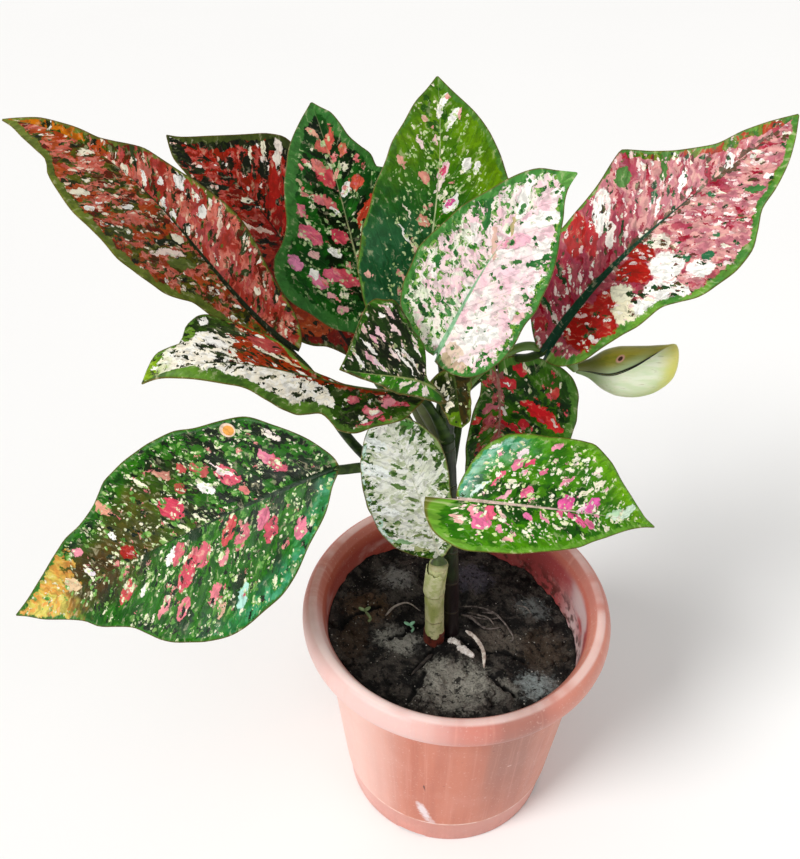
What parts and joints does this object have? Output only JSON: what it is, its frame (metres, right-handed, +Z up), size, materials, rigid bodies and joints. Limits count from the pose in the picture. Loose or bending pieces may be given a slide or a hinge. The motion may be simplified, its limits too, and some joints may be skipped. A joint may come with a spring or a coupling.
{
  "type": "potted chinese evergreen",
  "caption": "Leafy house plant with patterned oval leaves on two upright stems, rooted in soil in a round tapered plastic pot with a rolled rim.",
  "frame": {"origin": "centre of the pot's underside", "axes": "+Z up, +X to the right and +Y away from the viewer who faces the pot"},
  "size_m": [0.3218, 0.1695, 0.3934],
  "materials": {
    "bark_chip_pale": "matte",
    "dark_twig": "matte",
    "dry_strip_curved": "matte",
    "flower_bud": "satin",
    "leaf_back_left": "satin",
    "leaf_drooping_left": "satin",
    "leaf_far_left": "satin",
    "leaf_far_right": "satin",
    "leaf_low_left": "satin",
    "leaf_low_right": "satin",
    "leaf_pale_centre": "satin",
    "leaf_sheath": "satin",
    "leaf_small_centre": "satin",
    "leaf_tall_back": "satin",
    "leaf_tall_left": "satin",
    "leaf_under_right": "satin",
    "leaf_young_shoot": "satin",
    "main_stem": "satin",
    "pot": "satin",
    "seedling_left": "satin",
    "seedling_near_stem": "satin",
    "shoot_scale": "matte",
    "shoot_sheath": "matte",
    "shoot_stem": "satin",
    "soil": "matte",
    "stalk_sheath": "matte",
    "surface_root_arch": "matte",
    "surface_root_loop": "matte",
    "surface_root_side": "matte"
  },
  "bodies": {
    "root": {"bark_chip_pale": "bark_chip_pale", "dark_twig": "dark_twig", "dry_strip_curved": "dry_strip_curved", "flower_bud": "flower_bud", "leaf_back_left": "leaf_back_left", "leaf_drooping_left": "leaf_drooping_left", "leaf_far_left": "leaf_far_left", "leaf_far_right": "leaf_far_right", "leaf_low_left": "leaf_low_left", "leaf_low_right": "leaf_low_right", "leaf_pale_centre": "leaf_pale_centre", "leaf_sheath": "leaf_sheath", "leaf_small_centre": "leaf_small_centre", "leaf_tall_back": "leaf_tall_back", "leaf_tall_left": "leaf_tall_left", "leaf_under_right": "leaf_under_right", "leaf_young_shoot": "leaf_young_shoot", "main_stem": "main_stem", "pot": "pot", "seedling_left": "seedling_left", "seedling_near_stem": "seedling_near_stem", "shoot_scale": "shoot_scale", "shoot_sheath": "shoot_sheath", "shoot_stem": "shoot_stem", "soil": "soil", "stalk_sheath": "stalk_sheath", "surface_root_arch": "surface_root_arch", "surface_root_loop": "surface_root_loop", "surface_root_side": "surface_root_side"}
  },
  "joints": []
}
